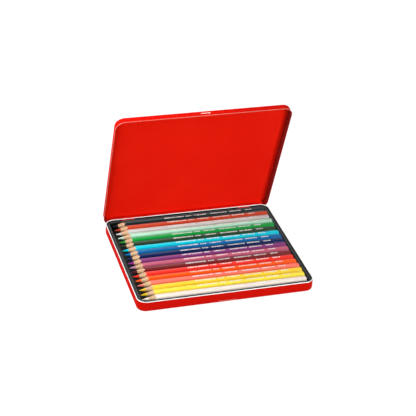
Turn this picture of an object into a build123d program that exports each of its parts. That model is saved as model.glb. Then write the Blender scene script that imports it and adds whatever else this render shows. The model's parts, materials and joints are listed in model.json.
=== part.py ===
"""Hinged flat tin of eighteen hexagonal watercolour pencils, lid standing open.

Millimetres, +Z up. The origin is the middle of the tin's underside, the pencils lie along X
with their points towards -X, and the lid hinges at the back, +Y.
"""
import os

from build123d import *

# Pencils
pencil_length = 175.4
pencil_across_flats = 7.2
pencil_edge_round = 0.8
pencil_cone_angle = 14.0
point_radius = 0.35
core_diameter = 3.8
core_glue_gap = 0.02
end_lacquer = 0.3
end_bevel = 0.8
pencil_gap = 0.2

# How far each pencil, back to front, has slid from the middle of its groove
pencil_slides = {
    "black": 0.6, "rust": 1.5, "silver_grey": 0.6, "mint": 1.3, "green": 1.0, "dark_green": 0.1,
    "turquoise": 0.6, "blue": 0.8, "navy": 0.7, "purple": 0.4, "mauve": 0.3, "burgundy": -0.1,
    "scarlet": -0.1, "orange": 0.2, "salmon": 0.6, "golden_yellow": 0.6, "lemon_yellow": 0.3,
    "white": -0.4,
}

# Tinplate of the base and the lid
sheet = 0.35
plan_radius = 9.5
pressed_radius = 2.0
rim_bead_width = 1.0
rim_bead_height = 1.1
rim_bead_round = 0.4
pencils_proud = 0.35
notch_length = 19.5
notch_height = 2.4
notch_depth = 0.4
notch_rise = 2.9

# Lid
lid_depth = 8.0
lid_gap = 0.15
lid_headroom = 0.7
lid_curl_width = 0.55
lid_curl_height = 0.9
lid_curl_round = 0.4
lid_rest_angle = 71.2
catch_length = 11.0
catch_height = 1.3
catch_depth = 0.1
catch_rise = 4.2

# Hinges
hinge_width = 14.5
hinge_inset = 26.9
hinge_pin_diameter = 1.2
pin_seat_gap = 0.02
pin_running_gap = 0.05
lid_knuckle_length = 5.0
knuckle_side_gap = 0.25
knuckle_swing_gap = 0.3
hinge_window_height = 1.9
hinge_window_drop = 0.5

# Formed plastic tray
tray_sheet = 0.5
tray_gap = 0.3
flange_width = 3.4
gutter_width = 0.7
ridge_drop = 1.2
ridge_rise = 0.8
ridge_round = 0.4
pencil_end_room = 1.85
pencil_side_room = 0.55
pocket_corner_radius = 2.0
pocket_drop = 4.3
point_pocket_length = 19.0
end_pocket_length = 11.0
trough_length = 14.0
divider_foot = 1.6
divider_crest = 0.8
divider_height = 2.0

# Heights that follow
floor_top = sheet
pocket_floor = floor_top + tray_sheet
bed_height = pocket_floor + pocket_drop
pencil_axis_height = bed_height + pencil_across_flats / 2
pencil_top = bed_height + pencil_across_flats
base_height = pencil_top - pencils_proud
ridge_top = base_height - ridge_drop
gutter_top = ridge_top - ridge_rise
lid_top = pencil_top + lid_headroom + sheet
lid_rim_level = lid_top - lid_depth

# Plan sizes that follow
pencil_count = len(pencil_slides)
corner_stretch = 2 / 3 ** 0.5
flat_core = pencil_across_flats / 2 - pencil_edge_round
pencil_across_corners = 2 * (flat_core * corner_stretch + pencil_edge_round)
pencil_pitch = pencil_across_corners + pencil_gap
row_width = (pencil_count - 1) * pencil_pitch + pencil_across_corners
pocket_length = pencil_length + 2 * pencil_end_room
pocket_width = row_width + 2 * pencil_side_room
tray_length = pocket_length + 2 * flange_width
tray_width = pocket_width + 2 * flange_width
rim_margin = tray_gap + rim_bead_width
base_length = tray_length + 2 * rim_margin
base_width = tray_width + 2 * rim_margin
tray_radius = plan_radius - rim_margin
lid_length = base_length + 2 * (lid_gap + sheet)
lid_width = base_width + 2 * (lid_gap + sheet)
lid_radius = plan_radius + lid_gap + sheet

# Hinge line: the knuckles just clear the back wall of the base
knuckle_radius = hinge_pin_diameter / 2 + pin_running_gap + sheet
hinge_y = base_width / 2 + lid_gap + knuckle_radius
hinge_z = lid_rim_level + lid_curl_height / 2
hinge_reach = base_length / 2 - hinge_inset
hinge_places = {"left": -hinge_reach, "right": hinge_reach}
hinge_line = Axis((0, hinge_y, hinge_z), (-1, 0, 0))
overlap = sheet / 2


def rounded_block(length, width, radius, bottom, top):
    """Upright block with rounded corners in plan, between two heights."""
    plan = RectangleRounded(length, width, radius)
    return Pos(0, 0, bottom) * extrude(plan, amount=top - bottom)


def span_box(x_range, y_range, z_range):
    """Plain box given by its limits along each axis."""
    ranges = (x_range, y_range, z_range)
    centre = [(low + high) / 2 for low, high in ranges]
    size = [high - low for low, high in ranges]
    return Pos(*centre) * Box(*size)


def bar_along_x(radius, length, x, y, z):
    """Round bar that lies along X, centred on a point."""
    return Pos(x, y, z) * Cylinder(radius, length, rotation=(0, 90, 0))


def pressed_bar(length, height, y_range, z):
    """Round-ended bar on an upright wall, between two depths along Y."""
    outline = Plane.XZ * SlotOverall(length, height)
    return Pos(0, y_range[1], z) * extrude(outline, amount=y_range[1] - y_range[0])


def rim_bead():
    """Hem of the base's rim: the wall folded inwards on itself, with soft edges."""
    bottom = base_height - rim_bead_height
    outer = rounded_block(base_length, base_width, plan_radius, bottom, base_height)
    inner_length = base_length - 2 * rim_bead_width
    inner_width = base_width - 2 * rim_bead_width
    inner_radius = plan_radius - rim_bead_width
    return outer - rounded_block(inner_length, inner_width, inner_radius, bottom, base_height)


def base_knuckles(x):
    """Two rolled knuckles of one hinge, each on a leaf from the base's back wall."""
    length = (hinge_width - lid_knuckle_length) / 2 - knuckle_side_gap
    offset = (hinge_width - length) / 2
    leaf_bottom = hinge_z - knuckle_radius
    knuckles = []
    for side in (-1, 1):
        centre = x + side * offset
        barrel = bar_along_x(knuckle_radius, length, centre, hinge_y, hinge_z)
        leaf_x = (centre - length / 2, centre + length / 2)
        leaf_y = (base_width / 2 - overlap, hinge_y)
        leaf = span_box(leaf_x, leaf_y, (leaf_bottom, leaf_bottom + sheet))
        bore_radius = hinge_pin_diameter / 2 + pin_seat_gap
        bore = bar_along_x(bore_radius, length, centre, hinge_y, hinge_z)
        knuckles.append(barrel + leaf - bore)
    return knuckles


def make_base_pan():
    """Drawn tinplate tray of the tin, with its rim bead, finger notch and hinge knuckles."""
    outer = rounded_block(base_length, base_width, plan_radius, 0, base_height)
    outer = fillet(outer.faces().sort_by(Axis.Z)[0].edges(), pressed_radius)
    inner = rounded_block(
        base_length - 2 * sheet, base_width - 2 * sheet, plan_radius - sheet,
        floor_top, base_height,
    )
    inner = fillet(inner.faces().sort_by(Axis.Z)[0].edges(), pressed_radius - sheet)
    pan = outer - inner + rim_bead()
    pan = fillet(pan.faces().sort_by(Axis.Z)[-1].edges(), rim_bead_round)

    front = -base_width / 2
    window_top = base_height - hinge_window_drop
    window_z = (window_top - hinge_window_height, window_top)
    for x in hinge_places.values():
        window_x = (x - hinge_width / 2, x + hinge_width / 2)
        window_y = (base_width / 2 - 2 * rim_bead_width, base_width / 2 + sheet)
        pan -= span_box(window_x, window_y, window_z)
        for knuckle in base_knuckles(x):
            pan += knuckle
    backing = pressed_bar(
        notch_length, notch_height, (front + overlap, front + notch_depth + sheet), notch_rise,
    )
    hollow = pressed_bar(
        notch_length - 2 * sheet, notch_height - 2 * sheet,
        (front - sheet, front + notch_depth), notch_rise,
    )
    return pan + backing - hollow


def make_closed_lid():
    """Drawn lid over the base, as it lies when the tin is shut."""
    outer = rounded_block(lid_length, lid_width, lid_radius, lid_rim_level, lid_top)
    outer = fillet(outer.faces().sort_by(Axis.Z)[-1].edges(), pressed_radius)
    inner = rounded_block(
        lid_length - 2 * sheet, lid_width - 2 * sheet, lid_radius - sheet,
        lid_rim_level, lid_top - sheet,
    )
    inner = fillet(inner.faces().sort_by(Axis.Z)[-1].edges(), pressed_radius - sheet)

    curl = rounded_block(
        lid_length + 2 * lid_curl_width, lid_width + 2 * lid_curl_width,
        lid_radius + lid_curl_width, lid_rim_level, lid_rim_level + lid_curl_height,
    )
    curl_edges = (
        curl.faces().sort_by(Axis.Z)[0].edges() + curl.faces().sort_by(Axis.Z)[-1].edges()
    )
    curl = fillet(curl_edges, lid_curl_round)
    lid = outer + curl - inner

    front = -lid_width / 2
    catch_z = lid_rim_level + catch_rise
    lid += pressed_bar(
        catch_length, catch_height, (front + overlap, front + catch_depth + sheet), catch_z,
    )
    lid -= pressed_bar(
        catch_length - 2 * sheet, catch_height - 2 * sheet,
        (front - sheet, front + catch_depth), catch_z,
    )
    for x in hinge_places.values():
        lid = fit_lid_knuckle(lid, x)
    return lid


def fit_lid_knuckle(lid, x):
    """Cut the back skirt clear of one hinge and roll its middle tongue round the pin."""
    back = lid_width / 2
    half_notch = hinge_width / 2 + knuckle_side_gap
    notch_top = hinge_z + knuckle_radius + knuckle_swing_gap
    notch = span_box(
        (x - half_notch, x + half_notch),
        (back - sheet - lid_gap, back + lid_curl_width + lid_gap),
        (lid_rim_level - overlap, notch_top),
    )
    half_tongue = lid_knuckle_length / 2
    tongue = span_box(
        (x - half_tongue, x + half_tongue), (back - sheet, back), (hinge_z, notch_top + overlap),
    )
    barrel = bar_along_x(knuckle_radius, lid_knuckle_length, x, hinge_y, hinge_z)
    bore_radius = hinge_pin_diameter / 2 + pin_running_gap
    bore = bar_along_x(bore_radius, lid_knuckle_length, x, hinge_y, hinge_z)
    return lid - notch + tongue + barrel - bore


def tray_stations():
    """X limits of the two deep end pockets, the middle trough and the two grooved beds."""
    start = -pocket_length / 2
    finish = pocket_length / 2
    bed_start = start + point_pocket_length
    bed_finish = finish - end_pocket_length
    trough_start = (bed_start + bed_finish - trough_length) / 2
    trough_finish = trough_start + trough_length
    pockets = [(start, bed_start), (trough_start, trough_finish), (bed_finish, finish)]
    beds = [(bed_start, trough_start), (trough_finish, bed_finish)]
    return pockets, beds


def make_divider(x_range, y):
    """Low ridge of the bed between two pencils, wider at its foot."""
    foot = divider_foot / 2
    crest = divider_crest / 2
    bottom = bed_height - tray_sheet / 2
    top = bed_height + divider_height
    outline = Polyline((-foot, bottom), (foot, bottom), (crest, top), (-crest, top), close=True)
    section = Plane.YZ * make_face(outline)
    return Pos(x_range[0], y, 0) * extrude(section, amount=x_range[1] - x_range[0])


def make_tray():
    """Formed plastic insert: flange with a rounded ridge, end pockets and a grooved bed."""
    wall_length = pocket_length + 2 * tray_sheet
    wall_width = pocket_width + 2 * tray_sheet
    wall_radius = pocket_corner_radius + tray_sheet
    tub = rounded_block(wall_length, wall_width, wall_radius, floor_top, ridge_top)

    ridge_length = tray_length - 2 * gutter_width
    ridge_width = tray_width - 2 * gutter_width
    ridge_radius = tray_radius - gutter_width
    gutter_bottom = gutter_top - tray_sheet
    gutter = rounded_block(tray_length, tray_width, tray_radius, gutter_bottom, gutter_top)
    ridge = rounded_block(ridge_length, ridge_width, ridge_radius, gutter_bottom, ridge_top)
    under_ridge = rounded_block(
        ridge_length - 2 * tray_sheet, ridge_width - 2 * tray_sheet, ridge_radius - tray_sheet,
        gutter_bottom, ridge_top - tray_sheet,
    )
    tray = gutter + ridge - under_ridge + tub
    tray -= rounded_block(
        pocket_length, pocket_width, pocket_corner_radius, bed_height, base_height,
    )
    tray = fillet(tray.faces().sort_by(Axis.Z)[-1].edges(), ridge_round)

    pockets, beds = tray_stations()
    pocket_plan = rounded_block(
        pocket_length, pocket_width, pocket_corner_radius, pocket_floor, bed_height,
    )
    for x_range in pockets:
        tray -= pocket_plan & span_box(
            x_range, (-pocket_width, pocket_width), (pocket_floor, bed_height),
        )
    for start, finish in beds:
        tray -= span_box(
            (start + tray_sheet, finish - tray_sheet), (-pocket_width, pocket_width),
            (0, bed_height - tray_sheet),
        )
        for index in range(1, pencil_count):
            y = (pencil_count / 2 - index) * pencil_pitch
            tray += make_divider((start, finish), y)
    return tray


def sharpened_bar(radius, back):
    """Round bar along X, sharpened to a blunt point at the tip end of a pencil."""
    tip = -pencil_length / 2
    taper = Vector(1, 0).rotate(Axis.Z, pencil_cone_angle)
    cone_end = tip + (radius - point_radius) / taper.Y * taper.X
    outline = Polyline(
        (tip, 0), (tip, point_radius), (cone_end, radius), (back, radius), (back, 0), close=True,
    )
    return revolve(make_face(outline), Axis.X)


def make_casing():
    """Hexagonal wooden casing with a flat side up, sharpened, bored for its colour core."""
    half_length = pencil_length / 2
    hexagon = RegularPolygon(pencil_across_flats / 2, 6, major_radius=False)
    hexagon = fillet(hexagon.vertices(), pencil_edge_round)
    bar = extrude(Plane.YZ * hexagon, amount=pencil_length)
    bar = Pos(-half_length, 0, 0) * bar
    bar = chamfer(bar.faces().sort_by(Axis.X)[-1].edges(), end_bevel)
    casing = bar & sharpened_bar(pencil_across_flats, half_length)
    bore_radius = core_diameter / 2 + core_glue_gap
    bore_length = pencil_length - end_lacquer
    return casing - bar_along_x(bore_radius, bore_length, -end_lacquer / 2, 0, 0)


def make_core():
    """Coloured core: a round rod sharpened with its casing, covered at its back end."""
    return sharpened_bar(core_diameter / 2, pencil_length / 2 - end_lacquer)


def make_parts():
    """Every piece of the tin by its name, placed as the tin stands open."""
    parts = {
        "base_pan": make_base_pan(),
        "lid": make_closed_lid().rotate(hinge_line, lid_rest_angle),
        "tray": make_tray(),
    }
    for side, x in hinge_places.items():
        parts[f"hinge_pin_{side}"] = bar_along_x(
            hinge_pin_diameter / 2, hinge_width, x, hinge_y, hinge_z,
        )
    casing = make_casing()
    core = make_core()
    for index, (colour, slide) in enumerate(pencil_slides.items()):
        y = ((pencil_count - 1) / 2 - index) * pencil_pitch
        name = f"pencil_{index + 1:02d}_{colour}"
        seat = Pos(slide, y, pencil_axis_height)
        parts[f"{name}_casing"] = seat * casing
        parts[f"{name}_core"] = seat * core
    return parts


os.makedirs("parts", exist_ok=True)
for part_name, solid in make_parts().items():
    export_step(solid, f"parts/{part_name}.step")
print(f"base {base_length:.2f} x {base_width:.2f} x {base_height:.2f}")
print(f"pencil pitch {pencil_pitch:.3f}, axis height {pencil_axis_height:.2f}")
print(f"lid {lid_length:.2f} x {lid_width:.2f}, rim level {lid_rim_level:.2f}, top {lid_top:.2f}")
print(f"hinge line y {hinge_y:.3f} z {hinge_z:.3f}")
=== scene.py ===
# %% [markdown]
# # A hinged tin of eighteen watercolour pencils
# The object is a flat pencil tin standing open: a drawn tinplate base and lid, a formed plastic
# tray, and eighteen hexagonal pencils. The solid model is loaded first and fixes every place and
# size. What is made here is the look: thin rolled sheet metal, lacquer, cedar, colour cores,
# foil marks and the studio round them. All lengths are in metres, so `mm` turns a size read
# off the object into Blender's unit.

# %% Load the solid model
import json
import math

import bmesh
import bpy
from mathutils import Matrix, Vector


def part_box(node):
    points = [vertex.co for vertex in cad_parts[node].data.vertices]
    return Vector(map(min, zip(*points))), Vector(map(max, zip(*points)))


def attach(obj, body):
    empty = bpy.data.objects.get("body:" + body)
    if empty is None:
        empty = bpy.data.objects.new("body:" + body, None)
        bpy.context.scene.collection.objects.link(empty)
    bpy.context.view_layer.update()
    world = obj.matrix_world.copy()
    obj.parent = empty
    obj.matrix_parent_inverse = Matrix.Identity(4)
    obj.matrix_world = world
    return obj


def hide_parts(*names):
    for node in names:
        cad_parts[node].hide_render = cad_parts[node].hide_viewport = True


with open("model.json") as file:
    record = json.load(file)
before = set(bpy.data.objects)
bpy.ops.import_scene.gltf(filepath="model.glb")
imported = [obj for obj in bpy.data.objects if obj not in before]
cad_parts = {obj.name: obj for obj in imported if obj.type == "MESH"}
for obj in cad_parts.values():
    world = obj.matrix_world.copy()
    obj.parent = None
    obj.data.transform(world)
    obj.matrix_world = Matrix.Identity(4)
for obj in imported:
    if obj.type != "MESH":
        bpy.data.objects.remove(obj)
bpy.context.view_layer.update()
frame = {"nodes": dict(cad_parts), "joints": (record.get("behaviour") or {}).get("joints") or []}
scene = bpy.context.scene
scene.view_settings.view_transform = "Standard"
mm = 0.001

# %% [markdown]
# ## Sizes from the solid model
# The solid model already knows how large each piece is, so the sizes here are measured on it and
# not typed again. Only what the boxes can't tell, such as the thickness of the sheet or the
# radius of a bend, is a value of its own.

# %% Measure the solids
base_low, base_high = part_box("base_pan")
base_length = base_high.x - base_low.x
base_width = -2 * base_low.y
base_height = base_high.z
pin_low, pin_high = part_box("hinge_pin_left")
pin_diameter = pin_high.z - pin_low.z
hinge_y = (pin_low.y + pin_high.y) / 2
hinge_z = (pin_low.z + pin_high.z) / 2
hinge_width = pin_high.x - pin_low.x
hinge_places = [sum(corner.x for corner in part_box(pin)) / 2
                for pin in ("hinge_pin_left", "hinge_pin_right")]
lid_joint = next(joint for joint in frame["joints"] if joint["name"] == "lid_hinge")
lid_opening = math.radians(-lid_joint["range_deg"][0])

sheet = 0.35 * mm
plan_radius = 9.5 * mm
pressed_radius = 2.0 * mm
print(f"base {base_length / mm:.1f} x {base_width / mm:.1f} x {base_height / mm:.1f} mm,"
      f" lid open {math.degrees(lid_opening):.1f} degrees")

# %% [markdown]
# ## The camera
# The photograph looks down from the front left with a long lens, slightly rolled. The camera's
# turn, height and roll are angles read off the edges of the tin, and the distance is where the
# far edges shrink as much as they do in the photograph. The lens follows from how many of the
# picture's 416 pixels the tin fills.

# %% Place the camera
picture_width = 416
focal_pixels = 1265.84
sensor_width = 36.0
camera_turn = math.radians(-18.361)
camera_height = math.radians(31.157)
camera_roll = math.radians(-3.672)
camera_distance = 1371.9 * mm
camera_target = Vector((11.62, 40.0, 39.13)) * mm
nearest_seen, farthest_seen = 0.05, 20.0

backward = Vector((
    math.sin(camera_turn) * math.cos(camera_height),
    -math.cos(camera_turn) * math.cos(camera_height),
    math.sin(camera_height),
))
level_right = Vector((0, 0, 1)).cross(backward).normalized()
level_up = backward.cross(level_right)
right = math.cos(camera_roll) * level_right - math.sin(camera_roll) * level_up
up = math.sin(camera_roll) * level_right + math.cos(camera_roll) * level_up

camera_data = bpy.data.cameras.new("camera")
camera_data.sensor_width = sensor_width
camera_data.lens = sensor_width * focal_pixels / picture_width
camera_data.clip_start = nearest_seen
camera_data.clip_end = farthest_seen
camera = bpy.data.objects.new("camera", camera_data)
scene.collection.objects.link(camera)
camera.matrix_world = Matrix.Translation(camera_target + backward * camera_distance) @ Matrix(
    (right, up, backward)).transposed().to_4x4()
scene.camera = camera
print(f"lens {camera_data.lens:.1f} mm at {camera_distance:.3f} m")

# %% [markdown]
# ## Helpers for nodes and colours
# Each finish below is a small tree of nodes. `add_node` adds one node with its settings and
# its links, whatever its kind, so that a tree reads from top to bottom, and `calculate` is its
# short form for sums. Colours are written as the hex values that a paint chart gives, and
# `colour` turns them into the linear light that the renderer works with.

# %% Node and colour helpers
def add_node(tree, kind, settings=None, inputs=None):
    """Add one node, set its properties, and set or link its inputs by name or number."""
    node = tree.nodes.new(kind)
    for name, value in (settings or {}).items():
        setattr(node, name, value)
    for name, value in (inputs or {}).items():
        if isinstance(value, bpy.types.Node):
            value = value.outputs[0]
        if isinstance(value, bpy.types.NodeSocket):
            tree.links.new(value, node.inputs[name])
        else:
            node.inputs[name].default_value = value
    return node


def calculate(tree, operation, first, second=None):
    """Add a math node that works on one value or on two."""
    values = {0: first} if second is None else {0: first, 1: second}
    return add_node(tree, "ShaderNodeMath", {"operation": operation}, values)


def colour(code):
    """Linear colour of an sRGB hex code."""
    channels = [int(code[place:place + 2], 16) / 255 for place in (0, 2, 4)]
    linear = [c / 12.92 if c <= 0.04045 else ((c + 0.055) / 1.055) ** 2.4 for c in channels]
    return (*linear, 1.0)


def darkened(code, share):
    """Hex code of a colour whose channels are brought down to a share of what they were."""
    return "".join(f"{int(int(code[place:place + 2], 16) * share):02X}" for place in (0, 2, 4))


def new_material(name):
    """Empty material with its output and its principled shader."""
    material = bpy.data.materials.new(name)
    material.use_nodes = True
    tree = material.node_tree
    tree.nodes.clear()
    shader = add_node(tree, "ShaderNodeBsdfPrincipled")
    add_node(tree, "ShaderNodeOutputMaterial", inputs={"Surface": shader.outputs["BSDF"]})
    material.diffuse_color = (0.5, 0.5, 0.5, 1.0)
    return material, tree, shader


print("red lacquer in linear light:", [round(c, 3) for c in colour("D8120A")])

# %% [markdown]
# ## Helpers for patterns
# No real surface is one even value. A finish has a faint cloud where it dried unevenly, a grain,
# or lines where it was rubbed or drawn. These could be painted, but noise that is stretched to
# the size of the feature gives them by rule, and since it lies on the piece's own coordinates it
# stays put when the piece moves. The same noise can colour the surface, change its gloss and
# raise its skin.

# %% Pattern helpers
noise_low, noise_high = 0.3, 0.7


def surface_pattern(tree, size_x, size_y=None, size_z=None, detail=2.0):
    """Noise on the piece's own coordinates, with one feature about this long each way."""
    size_y, size_z = size_y or size_x, size_z or size_x
    place = add_node(tree, "ShaderNodeTexCoord")
    stretched = add_node(tree, "ShaderNodeMapping", {"vector_type": "POINT"}, {
        "Vector": place.outputs["Object"],
        "Scale": (1 / size_x, 1 / size_y, 1 / size_z),
    })
    noise = add_node(tree, "ShaderNodeTexNoise", inputs={
        "Vector": stretched, "Scale": 1.0, "Detail": detail, "Roughness": 0.5})
    return noise.outputs["Fac"]


def spread(tree, pattern, low, high):
    """Turn the range in which noise mostly lies into values between two limits."""
    return add_node(tree, "ShaderNodeMapRange", inputs={
        "Value": pattern, "From Min": noise_low, "From Max": noise_high,
        "To Min": low, "To Max": high})


def tint_surface(tree, shader, pattern, first, second):
    """Blend the colour of a surface between two codes by a pattern."""
    share = spread(tree, pattern, 0.0, 1.0)
    blend = add_node(tree, "ShaderNodeMix", {"data_type": "RGBA"}, {
        0: share, 6: colour(first), 7: colour(second)})
    tree.links.new(blend.outputs[2], shader.inputs["Base Color"])


def roughen_surface(tree, shader, pattern, low, high):
    """Let the roughness of a surface wander between two values by a pattern."""
    tree.links.new(spread(tree, pattern, low, high).outputs[0], shader.inputs["Roughness"])


def raise_surface(tree, shader, pattern, strength, distance):
    """Raise the skin of a surface by a pattern, as shading alone."""
    bump = add_node(tree, "ShaderNodeBump", inputs={
        "Height": pattern, "Strength": strength, "Distance": distance})
    tree.links.new(bump.outputs[0], shader.inputs["Normal"])


print("noise is spread from", noise_low, "to", noise_high)

# %% [markdown]
# ## The floor
# The photograph is cut out on pure white, with hardly a shadow. A white floor that is lit like
# the tin would come out grey, and it would throw white light up at the tin. So the floor's own
# surface is a mid grey, which still takes the tin's shadow, and its white is a glow that lights
# nothing. The camera sees the glow, a little less of it round the tin, where the lamps add to
# it. Rays that a gloss or a metal sends on see it too, so these mirror a white studio.

# %% Lay the floor
def strength_by_ray(tree, plain, mirrored, seen):
    """Strength for lighting rays, for rays that a gloss or glass sends on, and for the camera."""
    path = add_node(tree, "ShaderNodeLightPath")
    sent_on = calculate(tree, "MAXIMUM", path.outputs["Is Glossy Ray"],
                        path.outputs["Is Transmission Ray"])
    off_camera = add_node(tree, "ShaderNodeMapRange", inputs={
        "Value": sent_on, "To Min": plain, "To Max": mirrored})
    return add_node(tree, "ShaderNodeMapRange", inputs={
        "Value": path.outputs["Is Camera Ray"], "To Min": off_camera, "To Max": seen})


floor_size = 12.0
floor_tone = "787878"
near_glow, far_glow = 0.93, 1.0
near_reach, far_reach = 0.15, 0.9
mirror_level = 1.0

floor_half = floor_size / 2
floor_corners = ((-1, -1), (1, -1), (1, 1), (-1, 1))
floor_mesh = bpy.data.meshes.new("studio_floor")
floor_mesh.from_pydata(
    [(x * floor_half, y * floor_half, 0.0) for x, y in floor_corners], [], [(0, 1, 2, 3)])
floor = bpy.data.objects.new("studio_floor", floor_mesh)
scene.collection.objects.link(floor)
floor_material = bpy.data.materials.new("white_studio_floor")
floor_material.use_nodes = True
floor_tree = floor_material.node_tree
floor_tree.nodes.clear()
floor_place = add_node(floor_tree, "ShaderNodeTexCoord").outputs["Object"]
floor_reach = add_node(floor_tree, "ShaderNodeVectorMath", {"operation": "LENGTH"}, {
    0: floor_place}).outputs["Value"]
floor_glow = add_node(floor_tree, "ShaderNodeMapRange", inputs={
    "Value": floor_reach, "From Min": near_reach, "From Max": far_reach,
    "To Min": near_glow, "To Max": far_glow})
floor_diffuse = add_node(floor_tree, "ShaderNodeBsdfDiffuse", inputs={"Color": colour(floor_tone)})
floor_strength = strength_by_ray(floor_tree, 0.0, mirror_level, floor_glow)
floor_emission = add_node(floor_tree, "ShaderNodeEmission", inputs={"Strength": floor_strength})
floor_sum = add_node(floor_tree, "ShaderNodeAddShader", inputs={
    0: floor_diffuse, 1: floor_emission})
add_node(floor_tree, "ShaderNodeOutputMaterial", inputs={"Surface": floor_sum})
floor_mesh.materials.append(floor_material)
print("floor glow:", near_glow, "to", far_glow, "over a tone of", floor_tone)

# %% [markdown]
# ## The backdrop
# Behind the tin there is nothing but white. A backdrop sheet could be modelled, but the world is
# one already, at every distance. It is white to the camera and in reflections, and it lights the
# tin only dimly, so that the lamps keep their say over the shades.

# %% Hang the backdrop
world_level = 0.15
backdrop_level = 1.0

world = bpy.data.worlds.new("studio")
scene.world = world
world.use_nodes = True
world_tree = world.node_tree
world_tree.nodes.clear()
world_strength = strength_by_ray(world_tree, world_level, mirror_level, backdrop_level)
world_background = add_node(world_tree, "ShaderNodeBackground", inputs={
    "Color": colour("FFFFFF"), "Strength": world_strength})
add_node(world_tree, "ShaderNodeOutputWorld", inputs={"Surface": world_background})
print("world lights the tin at", world_level, "and is seen at", backdrop_level)

# %% [markdown]
# ## Lamps
# The photograph is lit by large soft lamps: the lacquer shows no hard hot spots, only a pale
# sheen along edges and facets. Area lamps are the studio's soft boxes. Two stand low in front:
# the key on the right gives the red its tone, and the fill on the left leaves a soft dark margin
# inside the lid. A third lights the pencils from the right. Three stand near on the left, for
# the sheen on the pencils and the lid's upper edge, and for the base's left wall. Two stand
# behind: one lights the back of the lid, and one looks over it at the far side of the tray. The
# lamp for the lid's back is hidden from reflections, since the bare rim and the tray would mirror
# it as a streak.

# %% Soft boxes
lamp_target = Vector((0, 0, 30 * mm))


def soft_box(name, turn, height, distance, size, radiance):
    """Area lamp aimed at the tin, from a turn and a height in degrees.

    Turn 0 is in front, and a positive turn is to the right. Distance and size are in metres, and
    radiance is that of the lit face.
    """
    turn, height = math.radians(turn), math.radians(height)
    direction = Vector((
        math.sin(turn) * math.cos(height), -math.cos(turn) * math.cos(height), math.sin(height)))
    data = bpy.data.lights.new(name, "AREA")
    data.shape = "RECTANGLE"
    data.size, data.size_y = size
    data.energy = radiance * size[0] * size[1] * math.pi
    lamp = bpy.data.objects.new(name, data)
    scene.collection.objects.link(lamp)
    lamp.matrix_world = Matrix.Translation(lamp_target + direction * distance) @ (
        direction.to_track_quat("Z", "Y").to_matrix().to_4x4())
    return lamp


soft_box("key_box", 33, 8, 1.5, (0.5, 0.35), 18.3)
soft_box("fill_box", -45, 8, 1.5, (0.5, 0.35), 10.4)
soft_box("right_box", 31, 24, 1.3, (0.35, 0.35), 6.8)
soft_box("left_box", -82, 45, 0.5, (0.25, 0.25), 7.2)
soft_box("left_high_box", -90, 62, 0.6, (0.3, 0.3), 4.2)
soft_box("side_box", -95, 15, 0.8, (0.3, 0.3), 3.2)
rear_box = soft_box("rear_box", 158, 14, 1.5, (0.5, 0.35), 18.0)
rear_box.visible_glossy = False
back_box = soft_box("back_box", 170, 33, 1.0, (0.35, 0.35), 1.6)

# %% [markdown]
# ## Lacquered tinplate
# The base and lid are tinplate, lacquered as flat sheet before they are drawn, so the red is
# even, with a faint cloud and orange peel from the rollers. It could be a gloss enamel with a
# strong mirror layer, but at a low angle that mirrors the white studio as a pale film, which the
# photograph doesn't show. So the colour carries the look, under a thin varnish. The other
# finishes have light and shade painted into their colour. Inside the lid a lighter red is
# painted light, and over the bend and down the skirt a much darker red is painted shade. A pale
# red along the curl and a near-white line on the catch are painted highlights, and the near
# black inside of the base is painted shade.

# %% Lacquer finishes
def make_lacquered_tinplate(name, darker, lighter, varnish=0.03):
    """Roller-coated enamel on tinplate: even colour, fine orange peel, a clear varnish."""
    material, tree, shader = new_material(name)
    cloud = surface_pattern(tree, 40 * mm)
    peel = surface_pattern(tree, 1.2 * mm)
    grain = surface_pattern(tree, 6 * mm)
    tint_surface(tree, shader, cloud, darker, lighter)
    roughen_surface(tree, shader, grain, 0.46, 0.54)
    shader.inputs["Specular IOR Level"].default_value = 0.0
    shader.inputs["Coat Weight"].default_value = varnish
    shader.inputs["Coat Roughness"].default_value = 0.2
    raise_surface(tree, shader, peel, 0.15, 0.02 * mm)
    return material


# Coat weight of the two painted highlights, on the curl and on the catch.
highlight_varnish = 0.8
red_lacquer = make_lacquered_tinplate("red_lacquered_tinplate", "D8120A", "DD170C")
# A lighter copy of the red: painted light for the panel inside the lid.
painted_light_lacquer = make_lacquered_tinplate("red_lacquered_tinplate_inside_painted_light", "F21B0B", "F6200E")
# A much darker copy of the red: painted shade for the bend and skirt inside the lid.
painted_shade_lacquer = make_lacquered_tinplate("red_lacquered_tinplate_painted_shade", "860D08", "8C0F09")
# A pale copy of the red: a painted highlight along the lid's curl and the notch's lower slope.
highlight_lacquer = make_lacquered_tinplate(
    "red_lacquered_tinplate_curl_highlight", "E05A4A", "EA6C5C", highlight_varnish)
# A near-white copy: a painted highlight along the middle of the catch.
catch_highlight_lacquer = make_lacquered_tinplate(
    "red_lacquered_tinplate_catch_highlight", "F2C4B8", "FADCD4", highlight_varnish)
# A near-black finish: painted shade for the inside of the base and the front of the knuckles.
painted_shade_dark = make_lacquered_tinplate("dark_tinplate_painted_shade", "1A1B1B", "222424")
print("lacquers:", [finish.name for finish in (
    red_lacquer, painted_light_lacquer, painted_shade_lacquer, highlight_lacquer, catch_highlight_lacquer, painted_shade_dark)])

# %% [markdown]
# ## Bare tinplate
# Where the sheet is folded over at the rim of the base, the bare tin shows. Bright tin is a plain
# metal, but the fold has dulled it and fingers have rubbed it along its length. A full metal
# shows only what it mirrors, and on so thin an edge that breaks up into streaks. So this one is
# part metallic: it keeps a pale colour of its own from every side, and the rest of the look is
# its roughness.

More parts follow.
